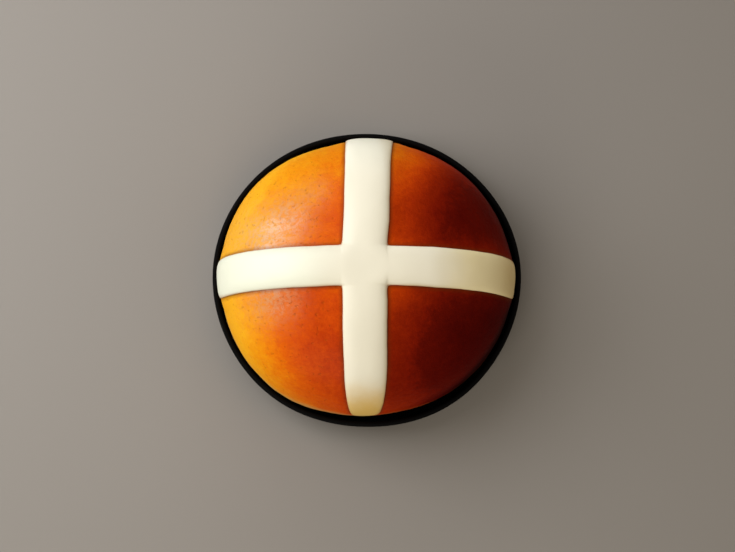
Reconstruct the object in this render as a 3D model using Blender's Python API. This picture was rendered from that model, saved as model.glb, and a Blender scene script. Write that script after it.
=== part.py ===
"""Hot cross bun in its low baking case.

The bun is an uneven, slightly oval dome of baked dough. A broad cream cross lies over it from edge to
edge, and the bun sits in a close-fitting dark paper case with a rolled rim. Metres, +Z up, the front faces
-Y. The origin is on the ground, under the middle of the case.
"""

import math

import bmesh
import bpy
from mathutils import Vector

MM = 0.001
QUARTER = math.pi / 2

# Case, measured to the outside of its rolled rim
CASE_HALF_WIDTH = 43.9 * MM
CASE_HALF_DEPTH = 42.2 * MM
CASE_HEIGHT = 10.0 * MM
RIM_RADIUS = 0.75 * MM
PAPER = 0.7 * MM
WALL_LEAN = 0.25 * MM
CASE_CORNER = 1.4 * MM
CORNER_SHARE = 0.35
CORNER_DROP = 0.25 * MM
RIM_TURNS = (math.radians(-50), math.radians(230))

# Bun, at its widest line
BUN_HALF_WIDTH = 41.95 * MM
BUN_HALF_DEPTH = 39.05 * MM
BUN_SIDE_SET = 0.15 * MM
FOOT_GAP = 0.3 * MM
WIDEST_HEIGHT = 13.0 * MM
DOME_RISE = 30.0 * MM
BUN_FOOT = PAPER + FOOT_GAP
DOME_FULLNESS = 2.1
FOOT_SQUARENESS = 5.0

# Bun and case leave their oval in slow waves: waves round the bun, depth as a share, turn in degrees
OVAL_TURN = math.radians(-3.5)
CASE_WAVES = ((3, 0.0025, 69), (4, 0.0021, 152), (5, 0.0023, 66), (6, 0.0021, 3))
BUN_WAVES = (
    (1, 0.0107, 201),
    (2, 0.0059, 114),
    (3, 0.0050, 31),
    (4, 0.0082, 199),
    (5, 0.0010, 29),
    (6, 0.0013, 26),
)
DOME_WAVES = ((2, 0.010, 40), (3, 0.012, 200), (5, 0.008, 95))

# Cross, as laid over the crust
CROSS_GAP = 0.3 * MM
CROSS_THICKNESS = 2.0 * MM
END_THICKNESS = 0.27
CROSS_SHOULDER = 3.2
CROSS_CENTRE = (-0.65 * MM, -0.50 * MM)
SIDE_ARM_HALF_WIDTH = 5.6 * MM
LONG_ARM_HALF_WIDTH = 5.8 * MM
ARM_END_ANGLE = math.radians(85)
TIP_START = 0.94
TIP_NARROWING = 0.22
NARROWING_POWER = 2.2
DRIFT_POWER = 1.5
ARM_EASING = 0.25
CORNER_BLEND = 0.3
LEAST_HEIGHT = 0.02 * MM
# Each arm: its tip's half width as a share, how far along it starts to narrow, and its tip's drift sideways
ARMS = {
    "left": (0.88, 0.70, -0.9 * MM),
    "right": (0.90, 0.80, -1.2 * MM),
    "back": (1.10, 0.00, 0.9 * MM),
    "front": (0.62, 0.30, 0.1 * MM),
}

# Mesh fineness
ROUND_STEPS = 84
BUN_RINGS = 36
RIM_STEPS = 10
ACROSS = (0.0, 0.42, 0.72, 0.90, 0.98, 1.0)
ALONG_STEPS = 20
SLOPE_STEP = 0.02
SHARP_ANGLE = math.radians(50)


def waves(azimuth, table):
    """The sum of slow waves round the vertical axis, as a share."""
    return sum(depth * math.cos(count * azimuth - math.radians(turn)) for count, depth, turn in table)


def outline(azimuth, half_width, half_depth, table):
    """Radius of an uneven oval in this direction."""
    turned = azimuth - OVAL_TURN
    oval = 1 / math.hypot(math.cos(turned) / half_width, math.sin(turned) / half_depth)
    return oval * (1 + waves(azimuth, table))


def smooth_step(share):
    share = max(0.0, min(1.0, share))
    return share * share * (3 - 2 * share)


def crust_point(direction):
    """The crust's point for a direction out of a unit ball: the ball's upper half is the dome, its lower
    half the body that fills the case."""
    azimuth = math.atan2(direction.y, direction.x)
    down = math.acos(max(-1.0, min(1.0, direction.z)))
    rim = outline(azimuth, BUN_HALF_WIDTH, BUN_HALF_DEPTH, BUN_WAVES)
    if down <= QUARTER:
        share = math.sin(down)
        flank = 4 * share**2 * (1 - share)
        rise = DOME_RISE * (1 + waves(azimuth, DOME_WAVES) * flank)
        height = WIDEST_HEIGHT + rise * max(0.0, 1 - share**DOME_FULLNESS) ** (1 / DOME_FULLNESS)
    else:
        drop = math.sin(down - QUARTER)
        share = max(0.0, 1 - drop**FOOT_SQUARENESS) ** (1 / FOOT_SQUARENESS)
        height = WIDEST_HEIGHT - (WIDEST_HEIGHT - BUN_FOOT) * drop
    reach = rim * share
    return Vector((reach * math.cos(azimuth) + BUN_SIDE_SET, reach * math.sin(azimuth), height))


def over_crust(direction, lift):
    """A point this far above the crust, square to it."""

    def slope(way):
        ahead = (direction + SLOPE_STEP * way).normalized()
        behind = (direction - SLOPE_STEP * way).normalized()
        return crust_point(ahead) - crust_point(behind)

    faces_along_y = abs(direction.y) > abs(direction.x) + direction.z
    side = direction.cross(Vector((1, 0, 0)) if faces_along_y else Vector((0, 1, 0))).normalized()
    normal = slope(side).cross(slope(direction.cross(side))).normalized()
    if normal.dot(direction) < 0:
        normal.negate()
    return crust_point(direction) + lift * normal


def material(name, colour, roughness):
    made = bpy.data.materials.new(name)
    made.use_nodes = True
    shader = made.node_tree.nodes["Principled BSDF"]
    shader.inputs["Base Color"].default_value = (*colour, 1)
    shader.inputs["Roughness"].default_value = roughness
    shader.inputs["Metallic"].default_value = 0.0
    return made


def finished(name, bm, finish):
    """The bmesh as a smooth-shaded object."""
    mesh = bpy.data.meshes.new(name)
    bm.to_mesh(mesh)
    bm.free()
    mesh.materials.append(finish)
    mesh.shade_smooth()
    mesh.set_sharp_from_angle(angle=SHARP_ANGLE)
    made = bpy.data.objects.new(name, mesh)
    bpy.context.scene.collection.objects.link(made)
    return made


def make_bun():
    bm = bmesh.new()
    bmesh.ops.create_uvsphere(bm, u_segments=ROUND_STEPS, v_segments=BUN_RINGS, radius=1)
    for vert in bm.verts:
        vert.co = crust_point(vert.co.normalized())
    return finished("bun", bm, material("crust", (0.45, 0.13, 0.02), 0.35))


def case_profile():
    """The case's cut edge, as distance in from the rim's outline and height. It runs from the underside up
    the wall, over the rolled rim and down to the inside of the floor."""
    rim_height = CASE_HEIGHT - RIM_RADIUS
    wall = RIM_RADIUS - PAPER / 2
    foot = wall + WALL_LEAN
    bend = foot + CORNER_SHARE * CASE_CORNER
    points = [(foot + CASE_CORNER, 0), (bend, CORNER_DROP), (foot, CASE_CORNER)]
    start, end = RIM_TURNS
    for step in range(RIM_STEPS + 1):
        turn = start + (end - start) * step / RIM_STEPS
        points.append((RIM_RADIUS * (1 - math.cos(turn)), rim_height + RIM_RADIUS * math.sin(turn)))
    points.append((foot + PAPER, CASE_CORNER))
    points.append((bend + PAPER, PAPER + CORNER_SHARE * CORNER_DROP))
    points.append((foot + CASE_CORNER + PAPER, PAPER))
    return points


def make_case():
    bm = bmesh.new()
    rings = []
    for inset, height in case_profile():
        ring = []
        for step in range(ROUND_STEPS):
            azimuth = 2 * math.pi * step / ROUND_STEPS
            reach = outline(azimuth, CASE_HALF_WIDTH, CASE_HALF_DEPTH, CASE_WAVES) - inset
            ring.append(bm.verts.new((reach * math.cos(azimuth), reach * math.sin(azimuth), height)))
        rings.append(ring)
    for lower, upper in zip(rings, rings[1:]):
        for step in range(ROUND_STEPS):
            after = (step + 1) % ROUND_STEPS
            bm.faces.new((lower[step], lower[after], upper[after], upper[step]))
    bm.faces.new(rings[0][::-1])
    bm.faces.new(rings[-1])
    return finished("case", bm, material("case_paper", (0.012, 0.011, 0.011), 0.8))


def pillow(share):
    """Height of a piped strip across its width, from 1 in the middle to 0 at its edge."""
    return math.sqrt(max(0.0, 1 - abs(share) ** CROSS_SHOULDER))


def past_tip_start(along):
    """How far into its rounded tip a point of an arm is, from 0 to 1."""
    return max(0.0, (along - TIP_START) / (1 - TIP_START))


def arm_side_turn(arm, along, share):
    """Sideways turn, over the crust, of a point on an arm. Along is a share of the arm's length, and share
    a share of its half width."""
    tip, start, drift = ARMS[arm]
    lengthwise = arm in ("back", "front")
    width = LONG_ARM_HALF_WIDTH if lengthwise else SIDE_ARM_HALF_WIDTH
    narrowing = max(0.0, (along - start) / (1 - start))
    width *= 1 - (1 - tip) * narrowing**NARROWING_POWER
    width *= 1 - TIP_NARROWING * past_tip_start(along) ** 3
    offset = share * width + drift * along**DRIFT_POWER
    return math.asin(offset / (BUN_HALF_DEPTH if lengthwise else BUN_HALF_WIDTH))


def arm_height(along):
    """Thickness of an arm at this share of its length, falling to 0 at the tip."""
    body = 1 - (1 - END_THICKNESS) * along**2
    return body * math.sqrt(1 - past_tip_start(along) ** 2)


def cross_direction(x_turn, y_turn):
    """Direction that lies x_turn towards +X and y_turn towards +Y. Each arm keeps its width to the edge."""
    across, up = math.sin(x_turn), math.cos(x_turn)
    deep, level = math.sin(y_turn), math.cos(y_turn)
    side = Vector((level * across, deep, level * up))
    long = Vector((across, up * deep, up * level))
    blend = smooth_step(0.5 + (abs(x_turn) - abs(y_turn)) / CORNER_BLEND)
    return long.lerp(side, blend).normalized()


def cross_lattice():
    """The cross as a lattice of columns and rows, each with its direction and its height over the gap."""
    edge = len(ACROSS) - 1
    reach = edge + ALONG_STEPS
    side_turn = math.asin(SIDE_ARM_HALF_WIDTH / BUN_HALF_WIDTH)
    long_turn = math.asin(LONG_ARM_HALF_WIDTH / BUN_HALF_DEPTH)

    def share(index):
        return math.copysign(ACROSS[abs(index)], index)

    def along_arm(index, root):
        along = (abs(index) - edge) / ALONG_STEPS
        eased = along + ARM_EASING * along * (1 - along)
        return eased, math.copysign(root + (ARM_END_ANGLE - root) * eased, index)

    lattice = {}
    centre_x = CROSS_CENTRE[0] / BUN_HALF_WIDTH
    centre_y = CROSS_CENTRE[1] / BUN_HALF_DEPTH
    for column in range(-reach, reach + 1):
        for row in range(-reach, reach + 1):
            if abs(column) > edge and abs(row) > edge:
                continue
            if abs(column) > edge:
                arm = "right" if column > 0 else "left"
                along, x_turn = along_arm(column, long_turn)
                y_turn = arm_side_turn(arm, along, share(row))
                height = pillow(share(row)) * arm_height(along)
            elif abs(row) > edge:
                arm = "back" if row > 0 else "front"
                along, y_turn = along_arm(row, side_turn)
                x_turn = arm_side_turn(arm, along, share(column))
                height = pillow(share(column)) * arm_height(along)
            else:
                x_turn, y_turn = share(column) * long_turn, share(row) * side_turn
                over, up = pillow(share(column)), pillow(share(row))
                height = over + up - over * up
            direction = cross_direction(x_turn + centre_x, y_turn + centre_y)
            lattice[column, row] = (direction, height * CROSS_THICKNESS)
    return lattice


def make_cross():
    bm = bmesh.new()
    under, top = {}, {}
    for place, (direction, height) in cross_lattice().items():
        under[place] = bm.verts.new(over_crust(direction, CROSS_GAP))
        top[place] = under[place]
        if height > LEAST_HEIGHT:
            top[place] = bm.verts.new(over_crust(direction, CROSS_GAP + height))
    for column, row in under:
        corners = [(column, row), (column + 1, row), (column + 1, row + 1), (column, row + 1)]
        if not all(corner in under for corner in corners):
            continue
        bm.faces.new([top[corner] for corner in corners])
        bm.faces.new([under[corner] for corner in reversed(corners)])
    return finished("cross", bm, material("cross_paste", (0.86, 0.80, 0.60), 0.45))


for old in list(bpy.data.objects):
    bpy.data.objects.remove(old)
make_case()
make_bun()
make_cross()
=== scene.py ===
"""A hot cross bun in its dark baking case: crust, cross and case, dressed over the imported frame."""
import math

import bpy
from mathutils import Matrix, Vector
from mathutils.bvhtree import BVHTree


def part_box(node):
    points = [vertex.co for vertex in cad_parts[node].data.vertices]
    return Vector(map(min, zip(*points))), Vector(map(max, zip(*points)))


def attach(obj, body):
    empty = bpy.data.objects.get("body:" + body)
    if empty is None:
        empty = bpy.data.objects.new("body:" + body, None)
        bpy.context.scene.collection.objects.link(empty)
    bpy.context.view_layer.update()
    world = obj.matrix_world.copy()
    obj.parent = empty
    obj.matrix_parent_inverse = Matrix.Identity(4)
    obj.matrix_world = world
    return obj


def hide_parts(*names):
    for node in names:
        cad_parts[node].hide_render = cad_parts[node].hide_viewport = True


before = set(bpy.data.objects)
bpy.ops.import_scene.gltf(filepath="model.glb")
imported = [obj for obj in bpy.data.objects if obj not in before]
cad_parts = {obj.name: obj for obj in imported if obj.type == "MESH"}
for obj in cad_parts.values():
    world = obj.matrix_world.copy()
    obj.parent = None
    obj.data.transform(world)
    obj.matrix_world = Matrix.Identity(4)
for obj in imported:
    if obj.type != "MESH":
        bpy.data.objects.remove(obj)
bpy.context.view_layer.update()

MM = 0.001
BUN_LOW, BUN_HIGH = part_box("bun")
CASE_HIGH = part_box("case")[1]
ROOT = "root"

# Copies of CAD nodes: how near two points merge, and how far two triangles may differ and still join in one face
MERGE = 0.01 * MM
JOIN_ANGLE = math.radians(60)

# Crust
CRUST_CUTS = 15
CRUST_FINENESS = 3
CRUST_PROUD = 0.15 * MM
# It swells up beside the cross: how far out from the cross, and how high
SWELL_REACH = 5.5 * MM
SWELL_HEIGHT = 0.45 * MM
# Its relief: a name, the size, and the depth from the lowest to the highest
CRUST_RELIEF = (
    ("crust_lumps", 16 * MM, 0.5 * MM),
    ("crust_dimples", 4 * MM, 0.12 * MM),
    ("crust_skin", 1.6 * MM, 0.10 * MM),
)

# How dark the crust's colour is made: at the origin, and what each millimetre to the right, to the front and up
# adds
DARKENING_START = 0.251
DARKENING_RIGHT, DARKENING_FRONT, DARKENING_UP = 0.0110, 0.00197, 0.00821
DARKENING_RIGHT_CURVE = 0.00002
# Painted shade: how much darker its low rim at the right is made, for the shade beside the case
RIM_PAINTED_SHADE = 0.3
# How the crust's colour runs as it darkens, from golden to mahogany
CRUST_DARKENING_RAMP = (
    (0.10, (0.840, 0.3900, 0.0100)),
    (0.17, (0.800, 0.2900, 0.0040)),
    (0.26, (0.740, 0.1700, 0.0018)),
    (0.31, (0.685, 0.1140, 0.0014)),
    (0.40, (0.590, 0.0660, 0.0012)),
    (0.46, (0.490, 0.0420, 0.0010)),
    (0.54, (0.360, 0.0240, 0.0008)),
    (0.60, (0.270, 0.0150, 0.0008)),
    (0.69, (0.190, 0.0074, 0.0006)),
    (0.74, (0.122, 0.0042, 0.0006)),
    (0.83, (0.084, 0.0022, 0.0005)),
    (0.92, (0.054, 0.0012, 0.0005)),
    (1.00, (0.022, 0.0007, 0.0004)),
)
# Where the crust is paler: centre and width in millimetres, and how much. Below 0 it is darker.
CRUST_PALE_SPOTS = (
    ((5.5, 30.5), 17.0, 0.234),
    ((33.6, -0.7), 11.6, 0.286),
    ((3.8, -2.4), 14.4, 0.286),
    ((14.5, 29.0), 5.0, 0.050),
    ((17.0, -30.5), 6.0, -0.040),
    ((37.0, -8.0), 7.0, -0.080),
    # Painted sheen in part: paler here, under the sheen at the left
    ((-21.0, 8.0), 14.0, 0.060),
    ((24.0, 18.0), 9.0, -0.045),
    # Painted sheen in part: paler here, under the sheen at the left
    ((-17.5, 19.0), 7.5, 0.045),
)

# Where the glaze lies and the crust is lightened to a pale, speckled painted sheen: centre and width in
# millimetres, and how much
CRUST_SHEEN_AND_GLAZE = (
    ((-28.5, 8.0), 8.0, 1.0),
    ((-21.0, 15.0), 6.0, 0.6),
    ((-13.5, 21.0), 4.5, 0.25),
    ((-26.0, -8.0), 7.0, 0.9),
)
# Its other colours: the dull lower flank at the left, and a darker flank at the right as painted shade; the
# painted sheen; the pores; and the line beside the cross, partly painted contact shade
FLANK_LEFT = (0.64, 0.36, 0.13)
FLANK_RIGHT_PAINTED_SHADE = (0.40, 0.14, 0.030)
PAINTED_SHEEN_COLOUR = (0.55, 0.33, 0.16)
PORE_COLOUR = (0.40, 0.100, 0.006)
CRUST_SEAM_SHADE_AND_BROWNING = (0.15, 0.030, 0.005)

# The darker line where crust and cross meet, partly browning and partly painted contact shade: its name in the
# mesh, and how far it reaches on each
SEAM = "seam"
CRUST_SEAM = 1.2 * MM
PASTE_SEAM = (0.4 * MM, 1.6 * MM)

# Cross
CROSS_FINENESS = 2
STRIP_SWAY = ("strip_sway", 9 * MM, 0.25 * MM)
STRIP_SHOULDER, STRIP_EDGE = 2.5 * MM, 6.0 * MM
# The long strip slumps wider on its right side: to the back (1) and to the front (-1), where along the arm
# that starts, over which length it grows, and how far the side stands out
STRIP_SLUMP = {
    "back": (1, 4 * MM, 8 * MM, 0.95 * MM),
    "front": (-1, 4 * MM, 6 * MM, 0.45 * MM),
}
# The paste's two clouded shades, and how it is coloured where it lies or baked differently, with painted light at
# the back and painted shade at its shaded sides and seam
PASTE_CLOUDS = (0.79, 0.755, 0.62), (0.765, 0.73, 0.585)
PASTE_MIDDLE = (0.92, 0.88, 0.72)
PASTE_BACK_PAINTED_LIGHT = (0.94, 0.93, 0.79)
PASTE_SIDE_SHADE = (0.66, 0.52, 0.27)
PASTE_LEFT = (0.77, 0.79, 0.65)
PASTE_RIGHT = (0.95, 0.835, 0.50)
PASTE_RIGHT_TIP = (0.66, 0.48, 0.18)
PASTE_FRONT_TIP = (0.73, 0.47, 0.10)
PASTE_SEAM_SHADE_AND_BROWNING = (0.42, 0.20, 0.06)

# Case
CASE_FINENESS = 2
PLEATS = 112
PLEAT_DEPTH = 0.40 * MM
# The pleats end below this height and fade in over this length, on the outside of the wall alone: past this
# share of the case's half width
PLEAT_TOP = 7.8 * MM
PLEAT_FADE = 1.5 * MM
PLEAT_OUTSIDE = 0.955
CASE_COLOURS = (0.0018, 0.0018, 0.0020), (0.0034, 0.0031, 0.0031)

# Studio
FLOOR_SIZE = 3.0
FLOOR_COLOUR = (0.270, 0.252, 0.234)
WHITE = (1, 1, 1)
SKY_COLOUR = (1.0, 0.87, 0.70, 1)
SKY_STRENGTH = 0.22
LIGHT_AIM = Vector((0, 0, 20 * MM))
# Square lights: turn round the bun and angle above the floor in degrees, distance and size in metres, strength
# and colour. A strength of 1 lights a white sheet that faces it to white.
SOFTBOXES = {
    "low_left_light": (165, 28, 0.34, 0.24, 0.42, WHITE),
    "left_light": (160, 48, 0.30, 0.22, 0.42, WHITE),
    "back_left_light": (125, 50, 0.30, 0.22, 0.18, WHITE),
    "low_back_light": (95, 20, 0.36, 0.24, 0.22, WHITE),
    "low_front_light": (-112, 21, 0.36, 0.24, 0.44, (1.0, 0.95, 0.84)),
    "right_light": (-10, 40, 0.40, 0.30, 0.16, (1.0, 0.88, 0.72)),
}

# Camera: its angle above the floor, the lens and half the sensor's width in millimetres, the frame's width in
# pixels, what one of them spans on the bun, and the point in the middle of the frame
ELEVATION = math.radians(82.5)
LENS = 135.0
HALF_SENSOR = 18.0
FRAME_WIDTH = 735
PIXEL = 0.2843 * MM
AIM = Vector((0.28 * MM, 1.0 * MM, 9 * MM))


def pick(piece):
    """Only this piece is selected, and it is active."""
    bpy.ops.object.select_all(action="DESELECT")
    piece.select_set(True)
    bpy.context.view_layer.objects.active = piece


def apply(piece, kind, **settings):
    """Adds a modifier, sets it and applies it."""
    pick(piece)
    modifier = piece.modifiers.new(kind.title(), kind)
    for name, value in settings.items():
        setattr(modifier, name, value)
    bpy.ops.object.modifier_apply(modifier=modifier.name)


def smooth_copy(node, name):
    """A merged copy of a CAD node, in four-sided faces where they fit."""
    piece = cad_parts[node].copy()
    piece.data = piece.data.copy()
    piece.parent = None
    piece.name = piece.data.name = name
    piece.data.materials.clear()
    bpy.context.scene.collection.objects.link(piece)
    pick(piece)
    bpy.ops.object.mode_set(mode="EDIT")
    bpy.ops.mesh.select_all(action="SELECT")
    bpy.ops.mesh.remove_doubles(threshold=MERGE)
    bpy.ops.mesh.tris_convert_to_quads(face_threshold=JOIN_ANGLE, shape_threshold=JOIN_ANGLE)
    bpy.ops.object.mode_set(mode="OBJECT")
    return piece


def rise(value, start, length):
    """0 up to the start, and from there evenly up to 1 over this length."""
    return max(0.0, min(1.0, (value - start) / length))


def weigh(piece, name, weight):
    """A vertex group whose weights come from each vertex."""
    group = piece.vertex_groups.new(name=name)
    for vertex in piece.data.vertices:
        group.add([vertex.index], max(0.0, min(1.0, weight(vertex))), "REPLACE")
    return group.name


def roughen(piece, name, size, depth):
    """Cloudy relief of this size, half of its depth inwards and half outwards."""
    relief = bpy.data.textures.new(name, "CLOUDS")
    relief.noise_scale = size
    apply(piece, "DISPLACE", texture=relief, texture_coords="LOCAL", strength=depth, mid_level=0.5)


def mark_seam(piece, other, near, far):
    """Marks where the piece comes close to the other one: 1 up to near, and 0 from far on."""
    faces = [polygon.vertices for polygon in other.data.polygons]
    surface = BVHTree.FromPolygons([vertex.co for vertex in other.data.vertices], faces)
    mark = piece.data.attributes.new(SEAM, "FLOAT", "POINT")
    for vertex in piece.data.vertices:
        away = surface.find_nearest(vertex.co)[3]
        mark.data[vertex.index].value = rise(far - away, 0.0, far - near)


def finished(piece, node, finish):
    """Shades the piece, hides the CAD node it stands for, hangs it under the root body and gives it its material.
    """
    pick(piece)
    bpy.ops.object.shade_smooth()
    piece.vertex_groups.clear()
    piece.data.materials.append(finish)
    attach(piece, ROOT)
    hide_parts(node)


class Value:
    """A number that varies over a surface. Sums written with it become Math nodes."""

    def __init__(self, finish, socket):
        self.finish, self.socket = finish, socket

    def math(self, operation, *terms, flipped=False):
        """A Math node on this value and the terms. Flipped, this value comes last."""
        terms = (*terms, self) if flipped else (self, *terms)
        return self.finish.node("ShaderNodeMath", {"operation": operation}, dict(enumerate(terms)))

    def __add__(self, other):
        return self.math("ADD", other)

    def __sub__(self, other):
        return self.math("SUBTRACT", other)

    def __mul__(self, other):
        return self.math("MULTIPLY", other)

    def __rsub__(self, other):
        return self.math("SUBTRACT", other, flipped=True)

    __radd__ = __add__
    __rmul__ = __mul__


class Finish:
    """A material, written down as values and nodes."""

    def __init__(self, name):
        self.material = bpy.data.materials.new(name)
        self.material.use_nodes = True
        self.tree = self.material.node_tree
        self.shader = self.tree.nodes["Principled BSDF"]
        self.place = self.node("ShaderNodeTexCoord", output="Object")

    def node(self, kind, settings=None, inputs=None, output=0):
        """Adds a node of this kind, sets it, fills its sockets and gives one output."""
        node = self.tree.nodes.new(kind)
        for name, value in (settings or {}).items():
            if name == "stops":
                self.set_stops(node.color_ramp, value)
            else:
                setattr(node, name, value)
        for name, value in (inputs or {}).items():
            self.feed(node.inputs[name], value)
        return Value(self, node.outputs[output])

    def feed(self, socket, value):
        """Links the value to the socket, or sets a number or a colour on it."""
        if isinstance(value, Value):
            self.tree.links.new(value.socket, socket)
        elif hasattr(socket.default_value, "__len__") and len(socket.default_value) == 4:
            socket.default_value = (*value, 1)
        else:
            socket.default_value = value

    @staticmethod
    def set_stops(ramp, stops):
        """Gives a colour ramp its stops, each a position and a colour."""
        while len(ramp.elements) < len(stops):
            ramp.elements.new(0.5)
        for element, (position, colour) in zip(ramp.elements, stops):
            element.position = position
            element.color = (*colour, 1)

    def axes(self):
        """The place in millimetres, as three numbers."""
        parts = [self.node("ShaderNodeSeparateXYZ", inputs={0: self.place}, output=axis) for axis in "XYZ"]
        return [part * 1000 for part in parts]

    def noise(self, size, detail, stretch=(1, 1, 1), rough=0.5):
        """Smooth noise from 0 to 1, its patches about this size in metres."""
        place = self.node("ShaderNodeMapping", inputs={"Vector": self.place, "Scale": stretch})
        inputs = {"Vector": place, "Scale": 1 / size, "Detail": detail, "Roughness": rough}
        return self.node("ShaderNodeTexNoise", inputs=inputs)

    def ramp(self, value, stops):
        """The colour that a value has on a ramp."""
        return self.node("ShaderNodeValToRGB", {"stops": stops}, {"Fac": value})

    def step(self, value, low, high):
        """0 below low, 1 above high, and smooth between them."""
        inputs = {"Value": value, "From Min": low, "From Max": high}
        return self.node("ShaderNodeMapRange", {"interpolation_type": "SMOOTHSTEP"}, inputs)

    def spot(self, x, y, centre, width):
        """1 at this centre and falling smoothly to 0 around it. All are in millimetres."""
        across, along = x - centre[0], y - centre[1]
        far = (across * across + along * along) * (-1 / width**2)
        return far.math("EXPONENT")

    def mix(self, factor, first, second):
        """The first colour at 0, the second at 1, and mixed between them."""
        node = self.tree.nodes.new("ShaderNodeMix")
        node.data_type = "RGBA"
        self.feed(node.inputs[0], factor)
        self.feed(node.inputs[6], first)
        self.feed(node.inputs[7], second)
        return Value(self, node.outputs[2])

    def mark(self, name):
        """What the mesh carries at each point under this name."""
        return self.node("ShaderNodeAttribute", {"attribute_name": name}, output="Fac")

    def bump(self, height, depth, normal=None):
        """Relief of a height from 0 to 1 that stands this deep, in metres."""
        inputs = {"Height": height, "Distance": depth, "Strength": 1.0}
        if normal:
            inputs["Normal"] = normal
        return self.node("ShaderNodeBump", inputs=inputs)

    def done(self, **inputs):
        """Feeds the shader's sockets, named with low lines for spaces."""
        for name, value in inputs.items():
            self.feed(self.shader.inputs[name.replace("_", " ")], value)
        return self.material


def crust_finish():
    """Golden at the left and low down, through orange to mahogany at the right; painted sheen at the upper left,
    painted shade at the low right rim.
    """
    finish = Finish("crust_finish")
    x, y, z = finish.axes()
    patches = finish.noise(11 * MM, 3.0)
    mottle = finish.noise(2.2 * MM, 4.0, rough=0.6)
    darkening = DARKENING_START + DARKENING_RIGHT * x - DARKENING_FRONT * y + DARKENING_UP * z + DARKENING_RIGHT_CURVE * x * x
    for centre, width, paler in CRUST_PALE_SPOTS:
        darkening = darkening - finish.spot(x, y, centre, width) * paler
    specks = finish.noise(1.0 * MM, 4.0, (0.8, 1.0, 1.0), rough=0.72)
    # Painted shade: the low rim at the right is made darker, for the shade there beside the case
    darkening = darkening + (1 - finish.step(z, 13, 22)) * finish.step(x, 6, 30) * RIM_PAINTED_SHADE
    darkening = darkening + (patches - 0.5) * 0.16 + (mottle - 0.5) * 0.10 + (specks - 0.5) * 0.12
    colour = finish.ramp(darkening, CRUST_DARKENING_RAMP)
    # Painted shade: at the right less of the pale flank shows, and what shows is darker, for the shade at the low
    # right rim
    rightward = finish.step(x, -15, 25)
    flank = 1 - finish.step(z + (patches - 0.5) * 5 + rightward * 4, 9, 17)
    matte = finish.mix(rightward, FLANK_LEFT, FLANK_RIGHT_PAINTED_SHADE)
    colour = finish.mix(flank * (0.75 - rightward * 0.45), colour, matte)
    # Painted sheen: the crust's colour is lightened to pale peach, in specks, where the glaze shines at the upper
    # left; the same spots give the glaze its coat
    sheen_and_glaze = sum(finish.spot(x, y, centre, width) * much for centre, width, much in CRUST_SHEEN_AND_GLAZE)
    sheen_and_glaze = sheen_and_glaze * (0.35 + finish.step(specks, 0.40, 0.60) * 0.75)
    colour = finish.mix(sheen_and_glaze * 0.55, colour, PAINTED_SHEEN_COLOUR)
    pores = finish.step(finish.noise(1.0 * MM, 2.0, rough=0.4), 0.63, 0.76)
    pores = pores * (1 - finish.step(x, -14, 4))
    colour = finish.mix(pores * 0.22, colour, PORE_COLOUR)
    # Painted contact shade, with some browning: the crust darkens along its seam with the cross
    colour = finish.mix(finish.mark(SEAM) * 0.75, colour, CRUST_SEAM_SHADE_AND_BROWNING)
    grit = finish.noise(0.5 * MM, 3.0, rough=0.6)
    relief = finish.bump(specks - pores * 0.8, 0.24 * MM)
    relief = finish.bump(grit, 0.06 * MM, relief)
    return finish.done(
        Base_Color=colour,
        Roughness=0.50 + (grit - 0.5) * 0.25,
        IOR=1.25,
        Specular_IOR_Level=0.06,
        Coat_Weight=sheen_and_glaze + 0.03 * (1 - finish.step(x, -10, 20)),
        Coat_Roughness=0.34,
        Coat_IOR=1.7,
        Normal=relief,
    )


def cross_finish():
    """Cream, whitest at the left, browned at the right and front tips, tan as painted shade on its right and
    front edges, whiter as painted light at the back, and darker along the seam as painted contact shade with some
    browning.
    """
    finish = Finish("cross_paste_finish")
    x, y, _ = finish.axes()
    cloud = finish.noise(7 * MM, 3.0)
    colour = finish.mix(cloud, *PASTE_CLOUDS)
    middle = finish.step(x + (cloud - 0.5) * 6, -14, 14)
    colour = finish.mix(middle, colour, PASTE_MIDDLE)
    # Painted light: the back arm is made whiter, as if more light fell on it from the back
    back = finish.step(y, 22, 38)
    colour = finish.mix(back, colour, PASTE_BACK_PAINTED_LIGHT)
    seam = finish.mark(SEAM)
    # Painted shade: the right side of the long strip and the front side of the side strips turn tan near the
    # seam, where shade falls on their rounded edges
    from_x, from_y = x.math("ABSOLUTE"), y.math("ABSOLUTE")
    long_strip_side = finish.step(x, 2, 5) * finish.step(from_y, 5, 8)
    side_strip_front = finish.step(-1 * y, 2, 5) * finish.step(from_x, 8, 12)
    side_shade = long_strip_side + side_strip_front
    colour = finish.mix(seam * side_shade * 0.75, colour, PASTE_SIDE_SHADE)
    left = finish.step(-1 * x, 6, 24)
    colour = finish.mix(left, colour, PASTE_LEFT)
    right = finish.step(x + (cloud - 0.5) * 4, 16, 32)
    colour = finish.mix(right, colour, PASTE_RIGHT)
    tip = finish.step(x + (cloud - 0.5) * 4, 32, 46)
    colour = finish.mix(tip, colour, PASTE_RIGHT_TIP)
    front = finish.step((cloud - 0.5) * 4 - y, 29.5, 40)
    colour = finish.mix(front, colour, PASTE_FRONT_TIP)
    # Painted contact shade, with some browning: the paste darkens along its seam with the crust
    colour = finish.mix(finish.step(seam, 0.5, 1.0) * 0.7, colour, PASTE_SEAM_SHADE_AND_BROWNING)
    fine = finish.noise(0.7 * MM, 3.0)
    return finish.done(
        Base_Color=colour,
        Roughness=0.46 + (fine - 0.5) * 0.15,
        Normal=finish.bump(fine, 0.03 * MM),
    )


def case_finish():
    """Dull black paper with a faint fibre."""
    finish = Finish("case_paper_finish")
    fibre = finish.noise(0.5 * MM, 3.0)
    return finish.done(
        Base_Color=finish.mix(fibre, *CASE_COLOURS),
        Roughness=0.75 + (fibre - 0.5) * 0.2,
        Specular_IOR_Level=0.04,
        Normal=finish.bump(fibre, 0.03 * MM),
    )


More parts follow.
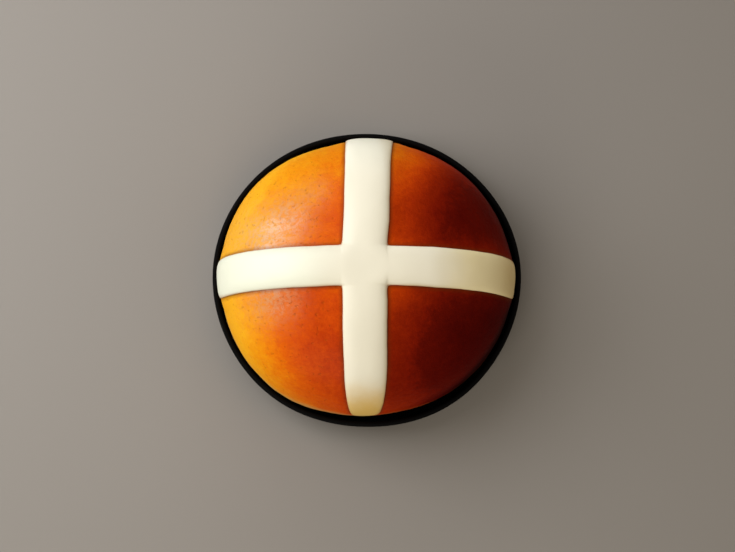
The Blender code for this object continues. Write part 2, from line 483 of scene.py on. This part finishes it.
def make_cross():
    """The CAD cross made smooth, with a slight sway, and slumped at the right side of its long strip."""
    cross = smooth_copy("cross", "paste_cross")
    apply(cross, "SUBSURF", levels=CROSS_FINENESS, render_levels=CROSS_FINENESS)
    roughen(cross, *STRIP_SWAY)
    for arm, (way, start, length, slump) in STRIP_SLUMP.items():

        def share(vertex):
            shoulder = rise(vertex.co.x, STRIP_SHOULDER, STRIP_EDGE - STRIP_SHOULDER)
            return shoulder * rise(way * vertex.co.y, start, length)

        group = weigh(cross, arm + "_slump", share)
        apply(cross, "DISPLACE", vertex_group=group, direction="X", strength=slump, mid_level=0.0)
    mark_seam(cross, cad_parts["bun"], *PASTE_SEAM)
    finished(cross, "cross", cross_finish())
    return cross


def make_crust(cross):
    """A cube rounded to a ball and drawn onto the CAD bun, swollen beside the cross, with a baked relief."""
    centre = (BUN_LOW + BUN_HIGH) / 2
    bpy.ops.object.select_all(action="DESELECT")
    bpy.ops.mesh.primitive_cube_add(size=2 * BUN_HIGH.x, location=centre)
    crust = bpy.context.object
    crust.name = crust.data.name = "baked_crust"
    bpy.ops.object.mode_set(mode="EDIT")
    bpy.ops.mesh.subdivide(number_cuts=CRUST_CUTS)
    bpy.ops.object.mode_set(mode="OBJECT")
    apply(crust, "CAST", cast_type="SPHERE", factor=1.0, radius=BUN_HIGH.x)
    crust.scale.z = (BUN_HIGH.z - BUN_LOW.z) / (BUN_HIGH.x - BUN_LOW.x)
    bpy.ops.object.transform_apply(location=True, rotation=True, scale=True)
    form = smooth_copy("bun", "crust_form")
    apply(form, "SUBSURF", levels=1, render_levels=1)
    apply(crust, "SHRINKWRAP", target=form, wrap_method="NEAREST_SURFACEPOINT")
    apply(crust, "SUBSURF", levels=1, render_levels=1)
    apply(crust, "SHRINKWRAP", target=form, wrap_method="NEAREST_SURFACEPOINT", offset=CRUST_PROUD)
    apply(crust, "CORRECTIVE_SMOOTH", iterations=3, factor=0.5, rest_source="ORCO")
    apply(crust, "SUBSURF", levels=CRUST_FINENESS - 1, render_levels=CRUST_FINENESS - 1)
    bpy.data.objects.remove(form)
    group = weigh(crust, "by_cross", lambda vertex: 1.0)
    apply(
        crust, "VERTEX_WEIGHT_PROXIMITY", vertex_group=group, target=cross, proximity_mode="GEOMETRY",
        proximity_geometry={"FACE"}, min_dist=SWELL_REACH, max_dist=0.0, falloff_type="SMOOTH",
    )
    apply(crust, "DISPLACE", vertex_group=group, strength=SWELL_HEIGHT, mid_level=0.0)
    for name, size, depth in CRUST_RELIEF:
        roughen(crust, name, size, depth)
    mark_seam(crust, cross, 0.0, CRUST_SEAM)
    finished(crust, "bun", crust_finish())


def make_case():
    """The CAD case made smooth, with fine pleats low on the outside of its wall."""
    case = smooth_copy("case", "baking_case")
    apply(case, "SUBSURF", levels=CASE_FINENESS, render_levels=CASE_FINENESS)

    def pleat(vertex):
        x, y, z = vertex.co
        low = rise(PLEAT_TOP - z, 0.0, PLEAT_FADE)
        outside = 1.0 if math.hypot(x / CASE_HIGH.x, y / CASE_HIGH.y) > PLEAT_OUTSIDE else 0.0
        return (0.5 + 0.5 * math.cos(PLEATS * math.atan2(y, x))) * low * outside

    group = weigh(case, "pleats", pleat)
    apply(case, "DISPLACE", vertex_group=group, strength=-PLEAT_DEPTH, mid_level=0.0)
    finished(case, "case", case_finish())


def make_floor():
    """A plain pale floor."""
    bpy.ops.object.select_all(action="DESELECT")
    bpy.ops.mesh.primitive_plane_add(size=FLOOR_SIZE)
    floor = bpy.context.object
    floor.name = "floor"
    finish = Finish("floor_finish")
    material = finish.done(Base_Color=FLOOR_COLOUR, Roughness=0.9, Specular_IOR_Level=0.1)
    floor.data.materials.append(material)


def make_softbox(name, turn, height, distance, size, strength, colour):
    """One square light, set as SOFTBOXES gives it."""
    light = bpy.data.lights.new(name, "AREA")
    light.size = size
    light.color = colour
    light.energy = strength * (math.pi * distance) ** 2
    turn, height = math.radians(turn), math.radians(height)
    away = Vector((math.cos(turn) * math.cos(height), math.sin(turn) * math.cos(height), math.sin(height)))
    box = bpy.data.objects.new(name, light)
    box.location = LIGHT_AIM + away * distance
    box.rotation_euler = away.to_track_quat("Z", "Y").to_euler()
    bpy.context.scene.collection.objects.link(box)


def make_lights():
    """Soft studio light, strongest from the left, and a faint warm sky."""
    for name, settings in SOFTBOXES.items():
        make_softbox(name, *settings)
    world = bpy.data.worlds.new("studio")
    world.use_nodes = True
    sky = world.node_tree.nodes["Background"]
    sky.inputs["Color"].default_value = SKY_COLOUR
    sky.inputs["Strength"].default_value = SKY_STRENGTH
    bpy.context.scene.world = world
    bpy.context.scene.view_settings.view_transform = "Standard"


def make_camera():
    """The camera, at the photograph's angle and framing."""
    distance = FRAME_WIDTH * PIXEL / 2 / (HALF_SENSOR / LENS)
    back = Vector((0, -math.cos(ELEVATION), math.sin(ELEVATION)))
    camera = bpy.data.objects.new("camera", bpy.data.cameras.new("camera"))
    camera.data.lens = LENS
    camera.location = AIM + back * distance
    camera.rotation_euler = (-back).to_track_quat("-Z", "Y").to_euler()
    bpy.context.scene.collection.objects.link(camera)
    bpy.context.scene.camera = camera


paste_cross = make_cross()
make_crust(paste_cross)
make_case()
make_floor()
make_lights()
make_camera()
